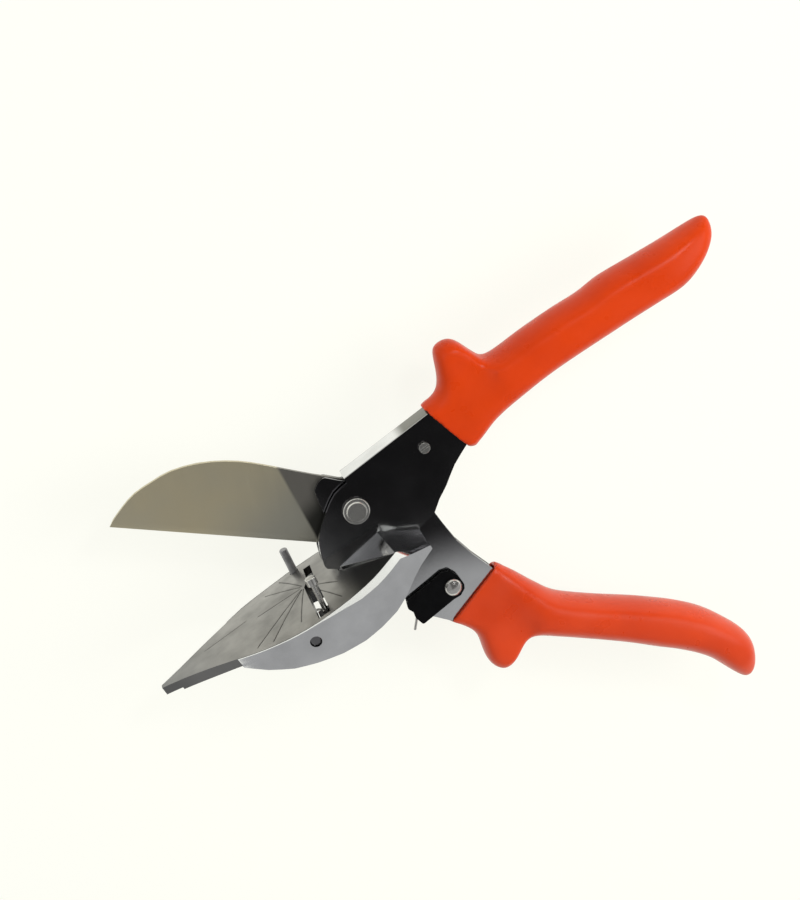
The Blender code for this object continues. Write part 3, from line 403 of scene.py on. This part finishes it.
easedPieces = (
    # node, body, material, slot, edge width in mm
    ("anvil_lever", "root", steelLever, "polished_steel", 0.30),
    ("pivot_bolt", "root", plated, "bright_fastener", 0.10),
    ("pivot_nut", "root", dullSteel, "polished_steel", 0.20),
    ("pivot_washer_near", "root", plated, "bright_fastener", 0.06),
    ("pivot_washer_far", "root", plated, "bright_fastener", 0.06),
    ("stop_screw", "root", plated, "bright_fastener", 0.12),
    ("stop_sleeve", "root", dullSteel, "polished_steel", 0.15),
    ("stop_nut", "root", dullSteel, "polished_steel", 0.15),
    ("plate_pin_near", "root", dullSteel, "bright_fastener", 0.10),
    ("plate_pin_far", "root", dullSteel, "bright_fastener", 0.10),
    ("spring_pin_fixed", "root", dullSteel, "bright_fastener", 0.10),
    ("stop_pin_far", "root", satinSteel, "polished_steel", 0.10),
    ("stop_pin_near", "slide_stop", plated, "bright_fastener", 0.10),
    ("stop_foot", "slide_stop", blackened, "polished_steel", 0.15),
    ("blade", "blade_lever", bladeSteel, "blade_steel", 0.05),
    ("blade_leaf_near", "blade_lever", steelLeaf, "polished_steel", 0.24),
    ("blade_leaf_far", "blade_lever", steelLeaf, "polished_steel", 0.12),
    ("leaf_spacer", "blade_lever", dullSteel, "polished_steel", 0.10),
    ("blade_rivet_1", "blade_lever", plated, "bright_fastener", 0.10),
    ("blade_rivet_2", "blade_lever", plated, "bright_fastener", 0.10),
    ("spacer_rivet_1", "blade_lever", plated, "bright_fastener", 0.10),
    ("spacer_rivet_2", "blade_lever", plated, "bright_fastener", 0.10),
    ("spring_pin_moving", "blade_lever", dullSteel, "bright_fastener", 0.10),
    ("latch_rivet", "blade_lever", plated, "bright_fastener", 0.08),
    ("latch", "latch_body", blackened, "black_steel", 0.15),
)
for node, body, material, slotName, width in easedPieces:
    bm = takeCopy(node)
    easeEdges(bm, width)
    evenShading(addPiece(bm, node + "Shown", body, material, [node]))
print("eased pieces:", len(easedPieces))


# anvil plate, with the angle lines pressed into its crowned top; lengths in mm

plateLines = {
    "apex": (-27.7, -0.9),
    "ends": (
        (-49.1, 17.1), (-43.7, 19.4), (-33.2, 19.3), (-45.5, -2.1),
        (-41.2, -15.2), (-35.2, -20.1), (-17.0, 10.8), (-18.1, 20.2),
    ),
    "centre": ((-49.0, -5.0), (-65.8, -3.9)),
    # only a little painted shade in the centre crease
    "centreShade": 0.15,
    "clearOfApex": 1.1,
    "width": 0.62,
    "depth": 0.26,
    "taper": 0.35,
    "deepFromShare": 0.9,  # of the taper, so that the cut at its end is pressed too
    "onCut": 0.001,
    "onLine": 0.002,
    "topLean": 0.6,  # the crown's faces have more of their normal along +Y than this
}
plateEdge = {
    "width": 0.22,
    "lean": (0.15, 0.97),  # the eased rim's faces lie between side and top
    "slot": (-28.4, -22.6),
    "slotReach": 24,
}


def splitTop(bm, spot, across, inside):
    # cuts those faces of the crown that the strip touches
    faces = [face for face in bm.faces if face.normal.y > plateLines["topLean"] and inside(face)]
    edges = {edge for face in faces for edge in face.edges}
    verts = {vert for face in faces for vert in face.verts}
    bmesh.ops.bisect_plane(
        bm, geom=[*verts, *edges, *faces], dist=plateLines["onCut"] * mm,
        plane_co=(spot.x, 0, spot.y), plane_no=(across.x, 0, across.y),
    )


def pressLine(bm, start, end, shadeShare=1.0):
    # a shallow V that runs along the line and rises out at both ends
    start, end = Vector(start) * mm, Vector(end) * mm
    start.y += pivotPlane
    end.y += pivotPlane
    length = (end - start).length
    along = (end - start) / length
    aside = Vector((-along.y, along.x))
    half = plateLines["width"] * mm / 2
    taper = plateLines["taper"] * mm

    def place(vert):
        away = Vector((vert.co.x, vert.co.z)) - start
        return away.dot(along), away.dot(aside)

    def nearStrip(face):
        runs, sides = zip(*(place(vert) for vert in face.verts))
        return min(runs) < length + half and max(runs) > -half and min(sides) < half and max(sides) > -half

    for shift in (-half, half, 0):
        splitTop(bm, start + aside * shift, aside, nearStrip)
    for run in (0, length, taper, length - taper):
        splitTop(bm, start + along * run, along, nearStrip)
    deepFrom = taper * plateLines["deepFromShare"]
    pressed = []
    for vert in bm.verts:
        run, side = place(vert)
        onTop = any(face.normal.y > plateLines["topLean"] for face in vert.link_faces)
        if abs(side) < plateLines["onLine"] * mm and deepFrom < run < length - deepFrom and onTop:
            pressed.append(vert)
    bmesh.ops.translate(bm, verts=pressed, vec=(0, -plateLines["depth"] * mm, 0))
    # the pressed points get painted shade
    paintedShade = bm.verts.layers.float["paintedShade"]
    for vert in pressed:
        vert[paintedShade] = shadeShare
    around = {face for vert in pressed for face in vert.link_faces}
    bmesh.ops.triangulate(bm, faces=list(around))
    bm.normal_update()


def shadeRimAndSlot(bm):
    # painted shade on the eased rim beside the gap, and on the slot's walls
    paintedShade = bm.verts.layers.float["paintedShade"]
    least, most = plateEdge["lean"]
    low, high = (place * mm for place in plateEdge["slot"])
    reach = plateEdge["slotReach"] * mm
    for vert in bm.verts:
        leans = [face.normal.y for face in vert.link_faces]
        onEase = all(least < lean < most for lean in leans)
        inSlot = low < vert.co.x < high and max(leans) < most and abs(vert.co.z - pivotPlane) < reach
        if onEase or inSlot:
            vert[paintedShade] = 1.0


def makePlate():
    bm = takeCopy("anvil_plate")
    bm.verts.layers.float.new("paintedShade")
    easeEdges(bm, plateEdge["width"])
    bm.normal_update()
    shadeRimAndSlot(bm)
    apex = Vector(plateLines["apex"])
    pressLine(bm, *plateLines["centre"], plateLines["centreShade"])
    for end in plateLines["ends"]:
        away = (Vector(end) - apex).normalized()
        pressLine(bm, apex + away * plateLines["clearOfApex"], end)
    evenShading(addPiece(bm, "anvilPlateShown", "root", castPlate, ["anvil_plate"]))
    return 1 + len(plateLines["ends"])


print("plate lines pressed:", makePlate())


# dipped grips: the frame's solid, made one even skin and relaxed; lengths in mm

gripFinish = {
    "voxel": 0.55,
    "relax": 0.5,
    "bodyPasses": 30,
    "mouthPasses": 4,
    "mouthLip": 2.5,
    "plugThick": 1.5,
}
upperGrip = {
    "mouth": ((40.4, -5.1), (34.9, 14.6)),
    "inward": (1, 0),  # roughly, from the mouth into the grip
    "plug": ((44.25, -1.6), (44.25, 13.7)),
    "plugHalfHigh": 5.2,
}
lowerGrip = {
    "mouth": ((26.6, -43.4), (3.4, -51.1)),
    "inward": (1, -0.6),
    "plug": ((26.8, -46.8), (6.06, -53.8)),
    "plugHalfHigh": 2.9,
}


def applyAll(piece):
    graph = bpy.context.evaluated_depsgraph_get()
    finished = bpy.data.meshes.new_from_object(piece.evaluated_get(graph))
    piece.modifiers.clear()
    piece.data = finished


def addPlug(bm, shape):
    # closes the tang's pocket behind the mouth, so that the skin has no hollow inside
    start, end = (Vector(place) * mm for place in shape["plug"])
    along = end - start
    middle = (start + end) / 2
    thick = gripFinish["plugThick"] * mm
    size = Matrix.Diagonal((along.length, thick, 2 * shape["plugHalfHigh"] * mm, 1))
    turn = Matrix.Rotation(math.atan2(along.y, along.x), 4, "Z")
    place = Matrix.Translation((middle.x, middle.y, pivotPlane))
    bmesh.ops.create_cube(bm, size=1.0, matrix=place @ turn @ size)


def relax(bm, verts, passes):
    for _ in range(passes):
        bmesh.ops.smooth_vert(
            bm, verts=verts, factor=gripFinish["relax"], use_axis_x=True, use_axis_y=True, use_axis_z=True
        )


def makeGrip(nodeName, pieceName, body, material, shape):
    bm = takeCopy(nodeName)
    addPlug(bm, shape)
    grip = addPiece(bm, pieceName, body, material, [nodeName], edgeCare["neverSharp"])
    skin = grip.modifiers.new("Skin", "REMESH")
    skin.mode = "VOXEL"
    skin.voxel_size = gripFinish["voxel"] * mm
    skin.use_smooth_shade = True
    applyAll(grip)
    inner, outer = (Vector(place) * mm for place in shape["mouth"])
    across = (outer - inner).normalized()
    facing = Vector((-across.y, across.x))
    if facing.dot(Vector(shape["inward"])) < 0:
        facing = -facing
    bm = bmesh.new()
    bm.from_mesh(grip.data)
    lip = gripFinish["mouthLip"] * mm
    pastLip = [vert for vert in bm.verts if (vert.co.xy - inner).dot(facing) > lip]
    relax(bm, pastLip, gripFinish["bodyPasses"])
    relax(bm, bm.verts, gripFinish["mouthPasses"])
    bm.to_mesh(grip.data)
    bm.free()
    grip.data.materials.clear()
    grip.data.materials.append(material)
    grip.data.shade_smooth()
    return len(grip.data.vertices)


print("upper grip skin:", makeGrip("upper_grip", "upperGripShown", "root", upperVinyl, upperGrip))
print("lower grip skin:", makeGrip("lower_grip", "lowerGripShown", "blade_lever", lowerVinyl, lowerGrip))


# return spring, one round wire between its two pins; lengths in mm

springWire = {
    "front": (-33.3, -21.8),
    "rear": (-1.96, -38.49),
    "wire": 0.45,
    "wireRounding": 3,
    "coil": 2.2,
    "pitch": 1.5,
    "turns": 16,
    "perTurn": 20,
    "eye": 1.75,
    "frontHook": (240, 18),  # degrees round the pin, and steps
    "rearHook": (108, 12),
    "tail": 9.6,
}


def hookRound(centre, start, sweep, steps):
    angles = [start + sweep * step / steps for step in range(steps + 1)]
    return [centre + Vector((math.cos(angle), math.sin(angle), 0)) * springWire["eye"] for angle in angles]


def springPath():
    front, rear = (Vector((*springWire[key], 0)) for key in ("front", "rear"))
    line = (rear - front).normalized()
    aside = Vector((-line.y, line.x, 0))
    up = Vector((0, 0, 1))
    square = math.atan2(aside.y, aside.x)
    coilLength = springWire["pitch"] * springWire["turns"]
    lead = ((rear - front).length - coilLength) / 2
    shank = lead - springWire["pitch"]
    atEye = aside * springWire["eye"]
    atCoil = aside * springWire["coil"]
    degrees, steps = springWire["frontHook"]
    points = hookRound(front, square + math.radians(degrees), -math.radians(degrees), steps)
    points.append(front + line * shank / 2 + atEye)
    points.append(front + line * shank + atCoil)
    count = springWire["turns"] * springWire["perTurn"]
    for step in range(count + 1):
        angle = math.tau * step / springWire["perTurn"]
        ring = (aside * math.cos(angle) + up * math.sin(angle)) * springWire["coil"]
        points.append(front + line * (lead + coilLength * step / count) + ring)
    points.append(rear - line * shank + atCoil)
    points.append(rear - line * shank / 2 + atEye)
    degrees, steps = springWire["rearHook"]
    points += hookRound(rear, square, -math.radians(degrees), steps)
    out = (points[-1] - points[-2]).normalized()
    points.append(points[-1] + out * springWire["tail"])
    return points


def makeSpring():
    points = springPath()
    curve = bpy.data.curves.new("springCurve", "CURVE")
    curve.dimensions = "3D"
    curve.bevel_depth = springWire["wire"] * mm
    curve.bevel_resolution = springWire["wireRounding"]
    curve.use_fill_caps = True
    spline = curve.splines.new("POLY")
    spline.points.add(len(points) - 1)
    for place, point in zip(spline.points, points):
        place.co = (point.x * mm, point.y * mm, point.z * mm + pivotPlane, 1)
    loose = bpy.data.objects.new("springLoose", curve)
    bpy.context.scene.collection.objects.link(loose)
    graph = bpy.context.evaluated_depsgraph_get()
    mesh = bpy.data.meshes.new_from_object(loose.evaluated_get(graph))
    bpy.data.objects.remove(loose, do_unlink=True)
    mesh.materials.clear()
    mesh.materials.append(plated)
    mesh.shade_smooth()
    spring = bpy.data.objects.new("returnSpringShown", mesh)
    bpy.context.scene.collection.objects.link(spring)
    start, end = (Vector((*springWire[key], 0)) * mm for key in ("front", "rear"))
    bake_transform(spring, "root", "blade_lever", start=tuple(start), end=tuple(end))
    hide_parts("return_spring")


makeSpring()
print("spring made")


# camera at the photograph's angle; lengths in mm, angles in degrees

photoView = {
    "target": (21.996, 6.483),
    "distance": 600,
    "nearest": 10,
    "tilt": 20.0,
    "roll": 34.9,
    "lens": 76.8,
}


def makeCamera():
    data = bpy.data.cameras.new("photoCamera")
    data.lens = photoView["lens"]
    data.clip_start = photoView["nearest"] * mm
    camera = bpy.data.objects.new("photoCamera", data)
    bpy.context.scene.collection.objects.link(camera)
    tilt = Matrix.Rotation(-math.radians(photoView["tilt"]), 4, "X")
    roll = Matrix.Rotation(-math.radians(photoView["roll"]), 4, "Z")
    back = tilt @ Vector((0, 0, 1)) * photoView["distance"] * mm
    target = Vector((*photoView["target"], 0)) * mm + Vector((0, 0, pivotPlane))
    camera.matrix_world = Matrix.Translation(target + back) @ tilt @ roll
    bpy.context.scene.camera = camera


makeCamera()


# pale floor, soft light, and a dark card that shows only in what is glossy; lengths in metres

studio = {
    "floorColour": (0.991, 0.991, 0.921),
    "floorGlow": 0.86,
    "floorHalf": (3.0, 3.0),
    "floorGap": 0.0002,
    "worldStrength": 0.62,
    "cardHalf": (1.1, 0.9),
    "cardMiddle": (0, -0.3, 0.300),
    "cardDark": 0.025,
    "cardLight": 0.37,
    "cardFade": ((0, -0.150, 0), (0, -0.172, 0)),
    "cardSide": ((-0.02, 0, 0), (-0.075, 0, 0)),
    "cardSideLight": 0.25,
}
lamps = (
    # name, place, target, side, watts, and whether it shows in what is glossy
    ("keyLamp", (0.60, -0.20, 0.50), (0.02, 0, 0), 0.50, 4.0, False),
    ("backLamp", (-0.35, 0.55, 0.75), (0.02, 0, 0), 0.60, 1.5, True),
    ("sparkLamp", (0.35, 0.25, 0.55), (0.06, 0, 0), 0.12, 1.0, True),
)


def addSheet(name, half, middle):
    bm = bmesh.new()
    bmesh.ops.create_grid(bm, x_segments=1, y_segments=1, size=1.0)
    bmesh.ops.scale(bm, verts=bm.verts, vec=(*half, 1))
    bmesh.ops.translate(bm, verts=bm.verts, vec=middle)
    mesh = bpy.data.meshes.new(name)
    bm.to_mesh(mesh)
    bm.free()
    sheet = bpy.data.objects.new(name, mesh)
    bpy.context.scene.collection.objects.link(sheet)
    return sheet


def emptyTree(owner):
    owner.use_nodes = True
    owner.node_tree.nodes.clear()
    return owner.node_tree


def seenPlainly(tree):
    # 1 for the camera, mirrors and glass, 0 for the light that falls on the object
    path = addNode(tree, "ShaderNodeLightPath")
    seen = calculate(tree, "MAXIMUM", path.outputs["Is Camera Ray"], path.outputs["Is Glossy Ray"])
    return calculate(tree, "MAXIMUM", seen, path.outputs["Is Transmission Ray"])


def makeFloor():
    floor = addSheet("studioFloor", studio["floorHalf"], (0, 0, cadBox[0].z - studio["floorGap"]))
    material = bpy.data.materials.new("floorWhite")
    tree = emptyTree(material)
    colour = (*studio["floorColour"], 1)
    matt = addNode(tree, "ShaderNodeBsdfDiffuse", {"Color": colour})
    glow = addNode(tree, "ShaderNodeEmission", {"Color": colour, "Strength": 1.0})
    part = calculate(tree, "MULTIPLY", seenPlainly(tree), studio["floorGlow"])
    both = addNode(tree, "ShaderNodeMixShader", {0: part, 1: matt.outputs[0], 2: glow.outputs[0]})
    addNode(tree, "ShaderNodeOutputMaterial", {"Surface": both.outputs[0]})
    floor.data.materials.append(material)


def makeWorld():
    world = bpy.data.worlds.new("studioWorld")
    bpy.context.scene.world = world
    tree = emptyTree(world)
    colour = (*studio["floorColour"], 1)
    strength = remap(tree, seenPlainly(tree), studio["worldStrength"], 1.0, 0.0, 1.0)
    sky = addNode(tree, "ShaderNodeBackground", {"Color": colour, "Strength": strength})
    addNode(tree, "ShaderNodeOutputWorld", {"Surface": sky.outputs[0]})


def makeCard():
    card = addSheet("darkCard", studio["cardHalf"], studio["cardMiddle"])
    card.visible_camera = False
    card.visible_diffuse = False
    card.visible_shadow = False
    material = bpy.data.materials.new("cardShade")
    tree = emptyTree(material)
    coords = addNode(tree, "ShaderNodeTexCoord").outputs["Object"]
    fade = sweepAlong(tree, coords, *studio["cardFade"])
    side = sweepAlong(tree, coords, *studio["cardSide"])
    dark, light, sideLight = ((studio[key],) * 3 for key in ("cardDark", "cardLight", "cardSideLight"))
    shade = mixColours(tree, fade, dark, light)
    shade = mixColours(tree, side, shade, sideLight, "LIGHTEN")
    glow = addNode(tree, "ShaderNodeEmission", {"Color": shade, "Strength": 1.0})
    addNode(tree, "ShaderNodeOutputMaterial", {"Surface": glow.outputs[0]})
    card.data.materials.append(material)


def addLamp(name, place, target, side, watts, mirrored):
    data = bpy.data.lights.new(name, "AREA")
    data.shape = "SQUARE"
    data.size = side
    data.energy = watts
    lamp = bpy.data.objects.new(name, data)
    lamp.visible_glossy = mirrored
    bpy.context.scene.collection.objects.link(lamp)
    facing = (Vector(target) - Vector(place)).to_track_quat("-Z", "Y")
    lamp.matrix_world = Matrix.Translation(place) @ facing.to_matrix().to_4x4()


makeFloor()
makeWorld()
makeCard()
for lamp in lamps:
    addLamp(*lamp)
bpy.context.scene.view_settings.view_transform = "Standard"
print("studio ready")
